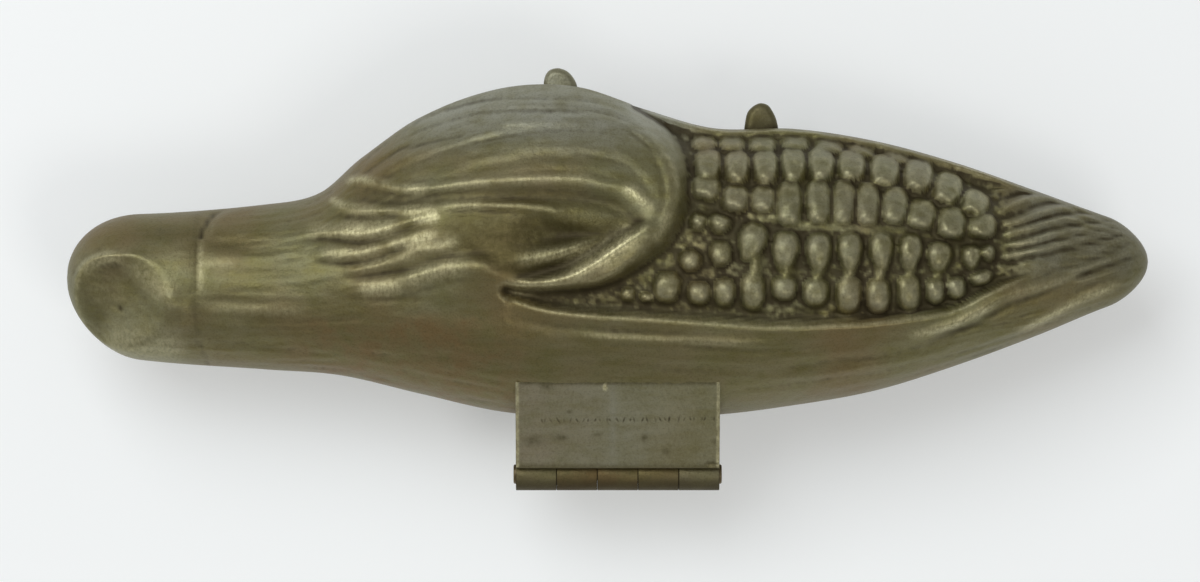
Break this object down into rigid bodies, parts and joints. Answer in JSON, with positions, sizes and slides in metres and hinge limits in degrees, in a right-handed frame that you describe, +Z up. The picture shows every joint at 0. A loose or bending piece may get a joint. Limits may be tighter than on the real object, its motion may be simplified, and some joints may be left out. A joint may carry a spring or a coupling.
{
  "type": "hinged ice cream mould",
  "caption": "Hinged cast pewter ice cream mould shaped as an ear of maize in its husk. Its halves open on a knuckle hinge, pulled apart by thumb lugs on the rim opposite.",
  "frame": {"origin": "on the flat of the lower casting's belly, under the middle of the mould's length", "axes": "+X from the stalk end to the tip, +Y from the hinge to the thumb lugs, +Z up from the belly flat"},
  "size_m": [0.1334, 0.0521, 0.0334],
  "materials": {
    "pewter": "aged cast pewter, olive brown in the hollows and grey on the high places",
    "leaf_pewter": "aged flat pewter with fine scratches",
    "knuckle_pewter": "aged pewter, dark and worn",
    "pin_steel": "dull steel wire with peened ends"
  },
  "bodies": {
    "lower_half": {"lower_casting": "pewter", "lower_hinge_leaf": "leaf_pewter", "lower_thumb_lug": "pewter", "hinge_pin": "pin_steel", "register_peg_left": "pewter", "register_peg_right": "pewter", "lower_knuckle_2": "knuckle_pewter", "lower_knuckle_4": "knuckle_pewter"},
    "upper_half": {"upper_casting": "pewter", "upper_hinge_leaf": "leaf_pewter", "upper_thumb_lug": "pewter", "upper_knuckle_1": "knuckle_pewter", "upper_knuckle_3": "knuckle_pewter", "upper_knuckle_5": "knuckle_pewter"}
  },
  "joints": [
    {"name": "opening_hinge", "type": "hinge", "parent": "lower_half", "child": "upper_half", "pos_m": [0.00125, -0.0258, 0.0152], "axis": [1, 0, 0], "range_deg": [0, 180]}
  ]
}
